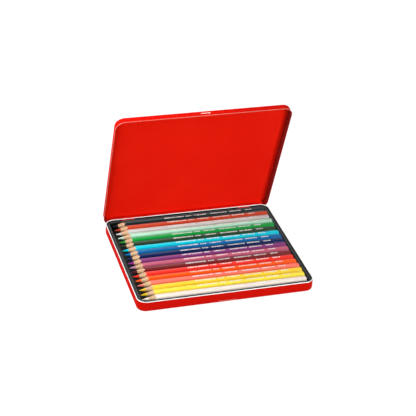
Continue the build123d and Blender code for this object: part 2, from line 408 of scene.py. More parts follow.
# %% Tin finish
def make_bare_tin():
    """Tinplate along a folded edge: pale metal with fine rubbed lines."""
    material, tree, shader = new_material("bare_bright_tinplate")
    rubbed = surface_pattern(tree, 2.5 * mm, 2.5 * mm, 0.15 * mm)
    cloud = surface_pattern(tree, 9 * mm)
    tint_surface(tree, shader, cloud, "DAE2E0", "EEF2F1")
    roughen_surface(tree, shader, rubbed, 0.36, 0.5)
    shader.inputs["Metallic"].default_value = 0.6
    raise_surface(tree, shader, rubbed, 0.2, 0.01 * mm)
    return material


bare_tin = make_bare_tin()
print("metal:", bare_tin.name)

# %% [markdown]
# ## Drawn shells of thin sheet
# Base and lid are each drawn from one flat sheet. A closed box with a bevel would look like
# plastic, because real sheet shows its thin edge, the pressed radius at the bottom and the roll at
# the rim. So each shell is one section of the sheet, drawn as it would show in a sawn-through
# tin, carried round the rounded rectangle of the plan. A section point is an inset from the
# outer wall and a height. Where a hinge needs room, the strip of wall between two stations is
# left out and the sheet's thickness is closed.

# %% Outlines and sections
corner_steps = 14
bend_steps = 8


def plan_stations(length, width, radius, front_places=(), back_places=()):
    """Points of the wall's outline with their outward direction, from front left, anticlockwise."""
    half_x, half_y = length / 2 - radius, width / 2 - radius
    corners = ((half_x, -half_y, -90), (half_x, half_y, 0), (-half_x, half_y, 90),
               (-half_x, -half_y, 180))
    stations = [(x, -width / 2, 0.0, -1.0) for x in sorted(front_places)]
    for index, (x, y, start) in enumerate(corners):
        for step in range(corner_steps + 1):
            turn = math.radians(start + 90 * step / corner_steps)
            across, along = math.cos(turn), math.sin(turn)
            stations.append((x + radius * across, y + radius * along, across, along))
        if index == 1:
            stations += [(place, width / 2, 0.0, 1.0) for place in sorted(back_places)[::-1]]
    return stations


def arc_points(centre, radius, start, finish, steps, height_radius=None):
    """Points of an arc in the section, as insets and heights, ends included."""
    height_radius = radius if height_radius is None else height_radius
    turns = [math.radians(start + (finish - start) * step / steps) for step in range(steps + 1)]
    return [(centre[0] + radius * math.cos(turn), centre[1] + height_radius * math.sin(turn))
            for turn in turns]


def even_steps(start, finish, count):
    """Evenly spaced values, both ends included."""
    return [start + (finish - start) * step / count for step in range(count + 1)]


print("steps in a corner of the plan:", corner_steps, "and in a bend:", bend_steps)

# %% [markdown]
# ## Sweeping the section
# The sweep could be a curve with a bevel profile, but a curve can't leave out a window. A mesh
# built station by station can: between two stations each row of the section gives one face, the
# rows that a window takes are skipped, and the sheet's thickness is closed round it. Doubled
# points are then welded, the faces are turned outward, and only creases stay sharp.

# %% Sweep a shell
hair = 1e-7
sharp_angle = math.radians(32)


def finished_piece(name, points, faces):
    """Mesh object with its normals outward and its curved faces shaded smooth."""
    mesh = bpy.data.meshes.new(name)
    mesh.from_pydata([tuple(point) for point in points], [], faces)
    sheet_mesh = bmesh.new()
    sheet_mesh.from_mesh(mesh)
    bmesh.ops.remove_doubles(sheet_mesh, verts=sheet_mesh.verts, dist=hair)
    bmesh.ops.recalc_face_normals(sheet_mesh, faces=sheet_mesh.faces)
    sheet_mesh.to_mesh(mesh)
    sheet_mesh.free()
    mesh.shade_smooth()
    mesh.set_sharp_from_angle(angle=sharp_angle)
    piece = bpy.data.objects.new(name, mesh)
    scene.collection.objects.link(piece)
    return piece


def opened_rows(here, there, section, openings):
    """First and last row of each run of the section that an opening takes between two stations."""
    runs = []
    for low_x, high_x, side, low_z, high_z in openings:
        if not (low_x < (here[0] + there[0]) / 2 < high_x and side * here[1] > 0):
            continue
        for row, (inset, height) in enumerate(section):
            if not low_z - hair <= height <= high_z + hair:
                continue
            if runs and runs[-1][1] == row - 1:
                runs[-1][1] = row
            else:
                runs.append([row, row])
    return [(first, last) for first, last in runs if last > first]


def swept_shell(name, stations, section, openings=()):
    """Carry a section of sheet round the stations, close its floor, and leave out the openings.

    An opening is the two ends along X, the side of the tin and the two heights that it spans.
    """
    points, faces = [], []
    for x, y, across, along in stations:
        points += [(x - across * inset, y - along * inset, height) for inset, height in section]
    count, rows = len(stations), len(section)
    cuts = [opened_rows(here, stations[(index + 1) % count], section, openings)
            for index, here in enumerate(stations)]
    for station, runs in enumerate(cuts):
        following = (station + 1) % count
        for row in range(rows - 1):
            if not any(first <= row < last for first, last in runs):
                faces.append((station * rows + row, following * rows + row,
                              following * rows + row + 1, station * rows + row + 1))
        for index, (first, last) in enumerate(runs):
            start = runs[(index + 1) % len(runs)][0]
            faces.append((station * rows + last, following * rows + last,
                          following * rows + start, station * rows + start))
        for edge, outside in ((station, cuts[station - 1]), (following, cuts[following])):
            if runs and not outside:
                faces.append([edge * rows + row for first, last in runs
                              for row in range(first, last + 1)])
    faces.append([station * rows for station in range(count)])
    faces.append([station * rows + rows - 1 for station in range(count)])
    return finished_piece(name, points, faces)


print("creases are sharp from", round(math.degrees(sharp_angle)), "degrees")

# %% [markdown]
# ## Pressing, bending and telling sides apart
# Three more steps of the sheet-metal worker come back on both shells. A bar is pressed into the
# front wall, for the notch and the catch. A strip is bent round the pin, for the knuckles of the
# hinge. And the two sides of the sheet differ in finish, so a face has to tell whether it looks
# into the shell. A Boolean or a modifier could do the first two, but moving points and drawing
# the bent strip keep the sheet's thickness true.

# %% Press, bend and join
def press_bar(piece, wall_y, centre_z, length, height, depth, soft_share):
    """Press a round-ended bar into the front wall.

    The soft share is the part of the bar's half height over which its edge rolls in.
    """
    half_core = (length - height) / 2
    wall_reach = 3 * sheet
    for vertex in piece.data.vertices:
        if abs(vertex.co.y - wall_y) > wall_reach:
            continue
        off_core = max(abs(vertex.co.x) - half_core, 0.0)
        distance = math.hypot(off_core, vertex.co.z - centre_z)
        share = min(max((1 - distance / (height / 2)) / soft_share, 0.0), 1.0)
        vertex.co.y += depth * share * share * (3 - 2 * share)


def bent_strip(name, path, x_low, x_high):
    """Strip of sheet bent along a path in the YZ plane, between two places along X."""
    sides = [[], []]
    for index, (y, z) in enumerate(path):
        before = Vector(path[max(index - 1, 0)])
        after = Vector(path[min(index + 1, len(path) - 1)])
        across = (after - before).normalized().orthogonal() * sheet / 2
        sides[0].append((y + across.x, z + across.y))
        sides[1].append((y - across.x, z - across.y))
    outline = sides[0] + sides[1][::-1]
    count = len(outline)
    points = [(x, y, z) for x in (x_low, x_high) for y, z in outline]
    faces = [(i, (i + 1) % count, count + (i + 1) % count, count + i) for i in range(count)]
    half = count // 2
    for end in (0, count):
        faces += [(end + i, end + i + 1, end + count - 2 - i, end + count - 1 - i)
                  for i in range(half - 1)]
    return finished_piece(name, points, faces)


def join_pieces(pieces):
    """Join mesh objects into the first one."""
    joined = bmesh.new()
    for piece in pieces:
        joined.from_mesh(piece.data)
    joined.to_mesh(pieces[0].data)
    joined.free()
    for piece in pieces[1:]:
        bpy.data.objects.remove(piece)
    return pieces[0]


def looks_inside(face, length, width, radius, low_z, high_z):
    """Tell whether a face of a shell looks at the core of the shell and not away from it."""
    middle = face.center
    core_x, core_y = length / 2 - radius, width / 2 - radius
    core = Vector((min(max(middle.x, -core_x), core_x), min(max(middle.y, -core_y), core_y),
                   min(max(middle.z, low_z), high_z)))
    return face.normal.dot(middle - core) < 0


print("sheet thickness:", sheet / mm, "mm")

# %% [markdown]
# ## The base
# The wall of the base rises from a pressed radius, and its rim is folded inwards into a round
# bead, where the tin is bare. Two windows under the back of the rim let the hinge through. The
# finger notch is a shallow bar pressed into the front wall, low down, where a nail finds the lid.

# %% Model the base
rim_width = 1.0 * mm
rim_fold_height = 1.1 * mm
bare_tin_height = 0.55 * mm
fold_radius = 0.3 * mm
flat_ring = 4.0 * mm
notch_length = 19.5 * mm
notch_height = 2.4 * mm
notch_depth = 0.4 * mm
notch_rise = 2.9 * mm
notch_soft_share = 0.6
notch_rows, notch_columns = 14, 48
window_height = 1.9 * mm
window_drop = 0.5 * mm
fold_steps, rim_steps = 4, 12

rim_radius = rim_width / 2
rim_centre = (rim_radius, base_height - rim_radius)
fold_bottom = base_height - rim_fold_height
fold_centre = (rim_width - fold_radius, fold_bottom + fold_radius)
bend_centre = (pressed_radius, pressed_radius)
window_top = base_height - window_drop
window_bottom = window_top - window_height
notch_levels = even_steps(notch_rise - notch_height / 2, notch_rise + notch_height / 2, notch_rows)
wall_levels = [z for z in notch_levels if z > pressed_radius + hair] + [window_bottom]
outer_levels = wall_levels + [base_height - bare_tin_height]

base_section = [(flat_ring, sheet)]
base_section += arc_points(bend_centre, pressed_radius - sheet, 270, 180, bend_steps)
base_section += [(sheet, z) for z in wall_levels + [fold_bottom]]
base_section += arc_points(fold_centre, fold_radius, 270, 360, fold_steps)
base_section += arc_points(rim_centre, rim_radius, 0, 180, rim_steps)
base_section += [(0.0, z) for z in outer_levels[::-1]]
base_section += arc_points(bend_centre, pressed_radius, 180, 270, bend_steps)
base_section += [(flat_ring, 0.0)]

notch_places = even_steps(-notch_length / 2, notch_length / 2, notch_columns)
window_ends = [x + side * hinge_width / 2 for x in hinge_places for side in (-1, 1)]
base_openings = [(x - hinge_width / 2, x + hinge_width / 2, 1, window_bottom, window_top)
                 for x in hinge_places]
base_shell = swept_shell(
    "base_shell", plan_stations(base_length, base_width, plan_radius, notch_places, window_ends),
    base_section, base_openings)
press_bar(base_shell, -base_width / 2, notch_rise, notch_length, notch_height, notch_depth,
          notch_soft_share)
base_face_count = len(base_shell.data.polygons)
print("faces of the base without its hinge:", base_face_count)

# %% [markdown]
# ## The base's hinge knuckles
# At each hinge two tongues of the base's back wall are bent round the pin, with room between them
# for the tongue of the lid. They could be plain tubes. A bent strip shows its cut edge and the
# place where it leaves the wall, which is what is seen of a knuckle from behind.

# %% Bend the base's knuckles
pin_play = 0.05 * mm
knuckle_gap = 0.25 * mm
lid_knuckle_length = 5.0 * mm
knuckle_steps = 26
base_wrap_start, base_wrap_finish = 270, 560

knuckle_radius = pin_diameter / 2 + pin_play + sheet
bend_radius = knuckle_radius - sheet / 2
base_knuckle_length = (hinge_width - lid_knuckle_length) / 2 - knuckle_gap
base_knuckle_path = [(base_width / 2 - sheet / 2, hinge_z - bend_radius)]
base_knuckle_path += arc_points((hinge_y, hinge_z), bend_radius, base_wrap_start,
                                base_wrap_finish, knuckle_steps)
base_pieces = [base_shell]
for x in hinge_places:
    for side in (-1, 1):
        outer_end = x + side * hinge_width / 2
        inner_end = outer_end - side * base_knuckle_length
        base_pieces.append(bent_strip("base_knuckle", base_knuckle_path,
                                      min(outer_end, inner_end), max(outer_end, inner_end)))
base_shell = join_pieces(base_pieces)
print("knuckles of the base:", len(base_pieces) - 1)

# %% [markdown]
# ## The base's finishes
# One sheet carries several finishes, so each face of the mesh takes one by where it lies. The
# bead is bare tin. The inside, and the side of a knuckle that faces the tray, are near black,
# which is painted shade. The notch's lower slope, turned upwards, takes a pale red that is a
# painted highlight. Splitting the base into pieces would do the same and leave seams.

# %% Finish the base
base_finishes = (red_lacquer, bare_tin, painted_shade_dark, highlight_lacquer)
red_place, tin_place, dark_place, notch_highlight_place = range(len(base_finishes))
highlight_slope = 0.25

for finish in base_finishes:
    base_shell.data.materials.append(finish)
for face in base_shell.data.polygons:
    middle = face.center
    in_notch = abs(middle.x) < notch_length / 2 and middle.y < sheet - base_width / 2
    if middle.z > base_height - bare_tin_height:
        face.material_index = tin_place
    # Knuckle faces turned to the front take the painted shade.
    elif face.index >= base_face_count:
        face.material_index = dark_place if face.normal.y < 0 else red_place
    # The inside of the base takes the painted shade.
    elif looks_inside(face, base_length, base_width, plan_radius, pressed_radius, base_height):
        face.material_index = dark_place
    # The notch's upturned lower slope takes the painted highlight.
    elif in_notch and face.normal.z > highlight_slope and middle.z < notch_rise:
        face.material_index = notch_highlight_place
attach(base_shell, "base")
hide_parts("base_pan")
print("base faces:", len(base_shell.data.polygons))

# %% [markdown]
# ## The lid
# The lid is a shallower drawing of the same sheet, a little larger than the base. Its rim curls
# outwards into a small bead that stiffens it and hides the raw edge. The catch is a short bar
# pressed into the front skirt. The section is drawn as the lid lies when shut, because there
# its faces are level and easy to place.

# %% Model the lid
lid_gap = 0.15 * mm
lid_depth = 8.0 * mm
curl_width = 0.55 * mm
curl_height = 0.9 * mm
catch_length = 11.0 * mm
catch_height = 1.3 * mm
catch_depth = 0.1 * mm
catch_rise = 4.2 * mm
catch_soft_share = 0.7
catch_rows, catch_columns = 10, 40
knuckle_swing_gap = 0.3 * mm
curl_steps = 16
curl_start, curl_finish = 360, 70

lid_length = base_length + 2 * (lid_gap + sheet)
lid_width = base_width + 2 * (lid_gap + sheet)
lid_radius = plan_radius + lid_gap + sheet
lid_rim = hinge_z - curl_height / 2
lid_top = lid_rim + lid_depth
lid_bend_centre = (pressed_radius, lid_top - pressed_radius)
curl_half = (curl_width + sheet) / 2
curl_centre = (sheet - curl_half, lid_rim + curl_height / 2)
hinge_cut_top = hinge_z + knuckle_radius + knuckle_swing_gap
catch_z = lid_rim + catch_rise
catch_levels = even_steps(catch_z - catch_height / 2, catch_z + catch_height / 2, catch_rows)
skirt_levels = catch_levels[::-1] + [hinge_cut_top]

lid_section = [(flat_ring, lid_top - sheet)]
lid_section += arc_points(lid_bend_centre, pressed_radius - sheet, 90, 180, bend_steps)
lid_section += [(sheet, z) for z in skirt_levels]
lid_section += arc_points(curl_centre, curl_half, curl_start, curl_finish, curl_steps,
                          curl_height / 2)
lid_section += [(0.0, z) for z in skirt_levels[::-1]]
lid_section += arc_points(lid_bend_centre, pressed_radius, 180, 90, bend_steps)
lid_section += [(flat_ring, lid_top)]

catch_places = even_steps(-catch_length / 2, catch_length / 2, catch_columns)
cut_half = hinge_width / 2 + knuckle_gap
cut_ends = [x + side * cut_half for x in hinge_places for side in (-1, 1)]
lid_openings = [(x - cut_half, x + cut_half, 1, lid_rim, hinge_cut_top) for x in hinge_places]
lid_shell = swept_shell(
    "lid_shell", plan_stations(lid_length, lid_width, lid_radius, catch_places, cut_ends),
    lid_section, lid_openings)
press_bar(lid_shell, -lid_width / 2, catch_z, catch_length, catch_height, catch_depth,
          catch_soft_share)
print("faces of the lid without its hinge:", len(lid_shell.data.polygons))

# %% [markdown]
# ## The lid's finishes
# Each face of the lid takes a finish by where it lies. The panel inside takes the lighter red,
# which is painted light, and the bend and the skirt take the much darker red, which is painted
# shade, except at the back, where the base hides most of them and the red runs on to the rim. The
# curl and a short line along the middle of the catch take pale painted highlights.

# %% Finish the lid
lid_finishes = (red_lacquer, painted_light_lacquer, highlight_lacquer, catch_highlight_lacquer, painted_shade_lacquer,
                painted_shade_dark)
red_place, panel_place, curl_place, catch_highlight_place, painted_shade_place, dark_place = range(
    len(lid_finishes))
panel_share_of_bend = 0.25
back_margin = 2.55 * mm
curl_margin = 0.05 * mm
catch_highlight_end = 0.3 * mm
catch_highlight_half_height = 0.52 * mm

painted_shade_level = lid_top - panel_share_of_bend * pressed_radius
back_level = lid_width / 2 - back_margin
curl_top = lid_rim + curl_height + curl_margin
catch_highlight_half_length = catch_length / 2 - catch_highlight_end

for face in lid_shell.data.polygons:
    middle = face.center
    on_catch = abs(middle.x) < catch_highlight_half_length and abs(middle.z - catch_z) < catch_highlight_half_height
    if looks_inside(face, lid_length, lid_width, plan_radius, lid_rim, lid_top - pressed_radius):
        # On the bend and skirt, apart from the back, a face takes the painted shade; the rest of
        # the inside takes the painted light.
        drawn = middle.z <= painted_shade_level and middle.y <= back_level
        face.material_index = painted_shade_place if drawn else panel_place
    # The outside of the curl takes the painted highlight.
    elif middle.z < curl_top:
        face.material_index = curl_place
    # The middle of the catch takes the painted highlight.
    elif on_catch and middle.y < 0:
        face.material_index = catch_highlight_place
for finish in lid_finishes:
    lid_shell.data.materials.append(finish)
print("finishes of the lid:", len(lid_shell.data.materials))

# %% [markdown]
# ## The lid's hinge and its opening
# One tongue of the lid's back skirt is bent round each pin, between the two of the base. With
# the tongues on, the lid is turned about the pins to the angle at which the tin stands open.
# The turn is put into the mesh and not into the object, because the object's own place belongs
# to the joint that moves it.

# %% Hang the lid
lid_wrap_start, lid_wrap_finish = 180, 480

tongue_y = lid_width / 2 - sheet / 2
lid_knuckle_path = [(tongue_y, hinge_cut_top + sheet)]
lid_knuckle_path += arc_points((hinge_y, hinge_z), bend_radius, lid_wrap_start, lid_wrap_finish,
                               knuckle_steps)
lid_pieces = [lid_shell]
for x in hinge_places:
    lid_pieces.append(bent_strip("lid_knuckle", lid_knuckle_path,
                                 x - lid_knuckle_length / 2, x + lid_knuckle_length / 2))
lid_face_count = len(lid_shell.data.polygons)
lid_shell = join_pieces(lid_pieces)
hinge_point = Vector((0, hinge_y, hinge_z))
open_turn = Matrix.Translation(hinge_point) @ Matrix.Rotation(
    -lid_opening, 4, "X") @ Matrix.Translation(-hinge_point)
lid_shell.data.transform(open_turn)
# Knuckle faces of the lid turned to the front take the painted shade.
for face in lid_shell.data.polygons[lid_face_count:]:
    face.material_index = dark_place if face.normal.y < 0 else red_place
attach(lid_shell, "lid")
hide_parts("lid")

# %% [markdown]
# ## Light past the lid
# In the photograph the far pencils lie under the lid and yet show neither its red image nor its
# hard shadow, because the studio's lamps are far larger than these. Larger lamps would flatten
# everything else. So the lid is left out of what glossy surfaces mirror, and the lamp that looks
# over the lid passes through it. The lid still shades the tray from every other lamp.

# %% Let the light past the lid
lid_shell.visible_glossy = False
passing = bpy.data.collections.new("passed_by_the_back_box")
passing.objects.link(lid_shell)
passing.collection_objects[0].light_linking.link_state = "EXCLUDE"
back_box.light_linking.blocker_collection = passing

# %% [markdown]
# ## Hinge pins and the tray
# The hinge pins are drawn steel wire, mostly hidden. The tray is black polystyrene, formed over
# a mould, so its ridge and pockets are soft-edged and its skin is a fine satin grain. Both solids
# have the right shape, so they keep it and only get their finish.

# %% Finish the pins and the tray
def make_hinge_wire():
    """Drawn steel wire: bright metal with fine lines along its length."""
    material, tree, shader = new_material("drawn_steel_wire")
    lines = surface_pattern(tree, 8 * mm, 0.1 * mm, 0.1 * mm)
    tint_surface(tree, shader, lines, "AEB2B5", "C4C8CB")
    roughen_surface(tree, shader, lines, 0.25, 0.4)
    shader.inputs["Metallic"].default_value = 1.0
    return material


def make_black_polystyrene():
    """Vacuum-formed black polystyrene: satin, with the mould's fine grain in its skin."""
    material, tree, shader = new_material("formed_black_polystyrene")
    cloud = surface_pattern(tree, 15 * mm)
    grain = surface_pattern(tree, 0.4 * mm)
    tint_surface(tree, shader, cloud, "151A1A", "1D2323")
    roughen_surface(tree, shader, grain, 0.38, 0.5)
    shader.inputs["Specular IOR Level"].default_value = 0.22
    raise_surface(tree, shader, grain, 0.25, 0.02 * mm)
    return material


hinge_wire = make_hinge_wire()
black_polystyrene = make_black_polystyrene()
for node_name, finish in (("tray", black_polystyrene), ("hinge_pin_left", hinge_wire),
                          ("hinge_pin_right", hinge_wire)):
    node = frame["nodes"][node_name]
    node.data.materials.clear()
    node.data.materials.append(finish)

# %% [markdown]
# ## Finishes of a pencil
# A pencil shows three materials. The casing is incense cedar, whose straight grain runs along
# the pencil and shows on the sharpened cone. The lacquer is laid on in several dips, so it is
# smooth, rounds every edge and lets a trace of the grain through. Its mirror layer is weak here
# and half tinted with its own hue, because a strong one would pale the row under the white
# studio. The core is pigment bound with gum and wax: dull, a little grainy, and paler or darker
# than its lacquer.

# %% Pencil finishes
def make_lacquer(name, code):
    """Dipped lacquer over wood, with faint lines along the pencil."""
    material, tree, shader = new_material(f"{name}_gloss_lacquer")
    lines = surface_pattern(tree, 25 * mm, 0.5 * mm, 0.5 * mm)
    tint_surface(tree, shader, lines, darkened(code, 0.94), code)
    roughen_surface(tree, shader, lines, 0.18, 0.25)
    red, green, blue, opacity = colour(code)
    strongest = max(red, green, blue)
    sheen = [0.5 + 0.5 * channel / strongest for channel in (red, green, blue)]
    shader.inputs["Specular IOR Level"].default_value = 0.18
    shader.inputs["Specular Tint"].default_value = (*sheen, opacity)
    raise_surface(tree, shader, lines, 0.2, 0.02 * mm)
    return material


def make_pigment_core(name, code):
    """Pigment and wax core, cut by a sharpener: dull, with a fine grain."""
    material, tree, shader = new_material(f"{name}_pigment_core")
    grain = surface_pattern(tree, 0.5 * mm)
    tint_surface(tree, shader, grain, darkened(code, 0.88), code)
    roughen_surface(tree, shader, grain, 0.5, 0.65)
    shader.inputs["Specular IOR Level"].default_value = 0.05
    raise_surface(tree, shader, grain, 0.3, 0.03 * mm)
    return material


def make_cedar():
    """Freshly sharpened cedar: pale straight grain with darker late-wood lines."""
    material, tree, shader = new_material("sharpened_cedar")
    grain = surface_pattern(tree, 9 * mm, 0.45 * mm, 0.45 * mm, detail=4.0)
    tint_surface(tree, shader, grain, "B78B60", "D6B894")
    shader.inputs["Roughness"].default_value = 0.6
    raise_surface(tree, shader, grain, 0.4, 0.05 * mm)
    return material


def make_silver_foil():
    """Hot-stamped silver foil: a thin pale film, slightly broken by the lacquer under it."""
    material, tree, shader = new_material("stamped_silver_foil")
    wear = surface_pattern(tree, 0.8 * mm)
    tint_surface(tree, shader, wear, "D6E4E0", "ECF8F4")
    roughen_surface(tree, shader, wear, 0.35, 0.55)
    shader.inputs["Metallic"].default_value = 0.2
    return material


cedar = make_cedar()
silver_foil = make_silver_foil()
print("shared by all pencils:", cedar.name, silver_foil.name)

# %% [markdown]
# ## The eighteen colours
# Each pencil is dipped in the colour that its core draws, but the two are never quite the same:
# a lacquer is cleaner than a pigment. So each has two codes, the lacquer's and the core's, in
# the order in which the pencils lie, back to front.

# %% Pencil colours
pencil_colours = {
    "black": ("131F20", "1E1F20"),
    "rust": ("CE4A26", "B8452E"),
    "silver_grey": ("CFD3D0", "D6D0CC"),
    "mint": ("B8F2D6", "C8EBD5"),
    "green": ("0EA241", "2E9E3E"),
    "dark_green": ("243D27", "2C3D2F"),
    "turquoise": ("00D2E6", "00C8DC"),
    "blue": ("0367A8", "0A6DB4"),
    "navy": ("041A50", "1C2C5E"),
    "purple": ("813677", "92308F"),
    "mauve": ("C15E79", "C98AAE"),
    "burgundy": ("772024", "5E2430"),
    "scarlet": ("F03428", "EE3424"),
    "orange": ("FB5C12", "F65A20"),
    "salmon": ("FA7D69", "F08070"),
    "golden_yellow": ("FBD83A", "F6C83C"),
    "lemon_yellow": ("FDE848", "F8D030"),
    "white": ("F7EBDE", "F4ECE4"),
}
print("pencil colours:", len(pencil_colours))

# %% [markdown]
# ## A pencil by rule
# Every pencil has the same shape, and the shape follows a rule: a hexagon with rounded edges,
# carried along the pencil, cut by a cone at one end and rounded at the other. The scallops
# where the lacquer ends are where the cone meets the flat sides, so they come out by
# themselves. That makes the pencil a good task for Geometry Nodes. One ring of points is
# carried along a line of stations, and each point is then placed by its station number and by
# its distance from the axis. The same tree makes the round core. These are its first parts: the
# ring and the line, each of whose points keeps what it knows through the sweep. An edge of the
# hexagon is one narrow facet, which smooth shading makes round.

# %% Ring and line of a rod
cone_rings, body_rings, end_rings = 8, 10, 7
edge_steps, side_cuts, circle_points = 1, 3, 40

cone_last = 1 + cone_rings
body_first = cone_last + 1
body_last = body_first + body_rings
end_last = body_last + end_rings
station_count = end_last + 2


def new_shape_tree(name, inputs):
    """Empty geometry tree that puts out a geometry and takes inputs, listed by their kind."""
    tree = bpy.data.node_groups.new(name, "GeometryNodeTree")
    for kind, names in inputs.items():
        for label in names:
            tree.interface.new_socket(label, in_out="INPUT", socket_type=f"NodeSocket{kind}")
    tree.interface.new_socket("Geometry", in_out="OUTPUT", socket_type="NodeSocketGeometry")
    return tree, add_node(tree, "NodeGroupInput").outputs


def kept_on_points(tree, geometry, kind, label, value):
    """Store a value on a curve's points, and give the curve and the stored value."""
    kept = add_node(tree, "GeometryNodeCaptureAttribute", {"domain": "POINT"})
    kept.capture_items.new(kind, label)
    tree.links.new(geometry.outputs[0], kept.inputs["Geometry"])
    tree.links.new(value.outputs[0], kept.inputs[label])
    return kept.outputs["Geometry"], kept.outputs[label]


def rod_ring(tree, given):
    """Rounded hexagon or circle across the rod, with the place of each point."""
    flats = given["Across Flats"]
    hexagon = add_node(tree, "GeometryNodeCurvePrimitiveCircle", inputs={
        "Resolution": 6, "Radius": calculate(tree, "MULTIPLY", flats, 1 / math.sqrt(3))})
    rounded = add_node(tree, "GeometryNodeFilletCurve", {"mode": "POLY"}, {
        "Curve": hexagon, "Count": edge_steps, "Radius": given["Edge Round"]})
    divided = add_node(tree, "GeometryNodeSubdivideCurve", inputs={
        "Curve": rounded, "Cuts": side_cuts})
    circle = add_node(tree, "GeometryNodeCurvePrimitiveCircle", inputs={
        "Resolution": circle_points, "Radius": calculate(tree, "MULTIPLY", flats, 0.5)})
    ring = add_node(tree, "GeometryNodeSwitch", {"input_type": "GEOMETRY"}, {
        "Switch": given["Round"], "False": divided, "True": circle})
    place = add_node(tree, "GeometryNodeInputPosition")
    return kept_on_points(tree, ring, "VECTOR", "Place", place)


def rod_line(tree):
    """Line of stations: closing point, cone, body, rounded end, closing point."""
    line = add_node(tree, "GeometryNodeCurvePrimitiveLine", inputs={"End": (1.0, 0.0, 0.0)})
    stations = add_node(tree, "GeometryNodeResampleCurve", inputs={
        "Curve": line, "Count": station_count})
    number = add_node(tree, "GeometryNodeInputIndex")
    return kept_on_points(tree, stations, "FLOAT", "Station", number)


print("stations along a rod:", station_count)

# %% [markdown]
# ## Placing the points of a rod
# The sweep gives a tube of the right number of points, all in the wrong places. Along the rod, a
# point of the cone goes from the tip to where the cone meets its own place on the ring, which is
# nearer for a flat side than for an edge. Off the axis, it follows the cone, then the ring, and
# at the blunt end it draws in on a quarter turn. The first and last rings shrink to a point.

# %% Place the points of a rod
half_station = 0.5


def between_stations(tree, station, first, last, low, high):
    """Value that runs from low to high between two stations and stays level outside them."""
    return add_node(tree, "ShaderNodeMapRange", inputs={
        "Value": station, "From Min": float(first), "From Max": float(last),
        "To Min": low, "To Max": high})


def rod_places(tree, given, station, ring_place):
    """Place of every point of the tube."""
    start, end_round = given["Start"], given["End Round"]
    radius = add_node(tree, "ShaderNodeVectorMath", {"operation": "LENGTH"}, {
        0: ring_place}).outputs["Value"]
    slope = calculate(tree, "TANGENT", given["Cone Angle"])
    wood_radius = calculate(tree, "SUBTRACT", radius, given["Lip"])
    rise = calculate(tree, "SUBTRACT", wood_radius, given["Point Radius"])
    run = calculate(tree, "DIVIDE", rise, slope)
    scallop = calculate(tree, "ADD", given["Point"], run)

    # Along the rod
    body_finish = calculate(tree, "SUBTRACT", given["Finish"], end_round)
    body_length = calculate(tree, "SUBTRACT", body_finish, scallop)
    down_cone = between_stations(tree, station, 1, cone_last, start, scallop)
    down_body = between_stations(tree, station, body_first, body_last, 0.0, body_length)
    end_turn = between_stations(tree, station, body_last, end_last, 0.0, math.pi / 2)
    end_sine = calculate(tree, "SINE", end_turn)
    end_reach = calculate(tree, "MULTIPLY", end_sine, end_round)
    so_far = calculate(tree, "ADD", down_cone, down_body)
    along = calculate(tree, "ADD", so_far, end_reach)

    # Off the axis
    from_start = calculate(tree, "SUBTRACT", down_cone, start)
    cone_gain = calculate(tree, "MULTIPLY", from_start, slope)
    cone_radius = calculate(tree, "ADD", given["Start Radius"], cone_gain)
    on_body = calculate(tree, "GREATER_THAN", station, cone_last + half_station)
    full_radius = add_node(tree, "ShaderNodeMix", {"data_type": "FLOAT"}, {
        0: on_body, 2: cone_radius, 3: radius})
    end_cosine = calculate(tree, "COSINE", end_turn)
    end_short = calculate(tree, "SUBTRACT", 1.0, end_cosine)
    end_inset = calculate(tree, "MULTIPLY", end_short, end_round)
    drawn_in = calculate(tree, "SUBTRACT", full_radius, end_inset)
    past_start = calculate(tree, "GREATER_THAN", station, half_station)
    before_finish = calculate(tree, "LESS_THAN", station, end_last + half_station)
    open_ring = calculate(tree, "MULTIPLY", past_start, before_finish)
    off_axis = calculate(tree, "MULTIPLY", drawn_in, open_ring)
    ratio = calculate(tree, "DIVIDE", off_axis, radius)
    scaled = add_node(tree, "ShaderNodeVectorMath", {"operation": "SCALE"}, {
        0: ring_place, "Scale": ratio})
    parts = add_node(tree, "ShaderNodeSeparateXYZ", inputs={0: scaled}).outputs
    return add_node(tree, "ShaderNodeCombineXYZ", inputs={0: along, 1: parts[0], 2: parts[1]})


print("last stations of cone, body and end:", cone_last, body_last, end_last)

# %% [markdown]
# ## The whole rod
# The last part of the tree closes the ends and gives the finishes: the cut cone takes one
# material and what is coated takes the other, divided at the scallops. A modifier could stay on
# each pencil, but a plain mesh is easier to hand on, so `grow_piece` keeps what the tree made and
# drops the modifier.

# %% Tree of a sharpened rod
weld_reach = 1e-6
coated_from = cone_last + 0.2


def finished_rod(tree, given, rod, station):
    """Smooth sides with sharp creases, the cone in its cut material and the rest coated."""
    edge_angle = add_node(tree, "GeometryNodeInputMeshEdgeAngle")
    creased = calculate(tree, "GREATER_THAN", edge_angle, sharp_angle)
    smooth = add_node(tree, "GeometryNodeSetShadeSmooth", {"domain": "FACE"}, {
        "Geometry": rod, "Shade Smooth": True})
    sharp = add_node(tree, "GeometryNodeSetShadeSmooth", {"domain": "EDGE"}, {
        "Geometry": smooth, "Selection": creased, "Shade Smooth": False})
    cut = add_node(tree, "GeometryNodeSetMaterial", inputs={
        "Geometry": sharp, "Material": given["Cut"]})
    coated = calculate(tree, "GREATER_THAN", station, coated_from)
    return add_node(tree, "GeometryNodeSetMaterial", inputs={
        "Geometry": cut, "Selection": coated, "Material": given["Coat"]})


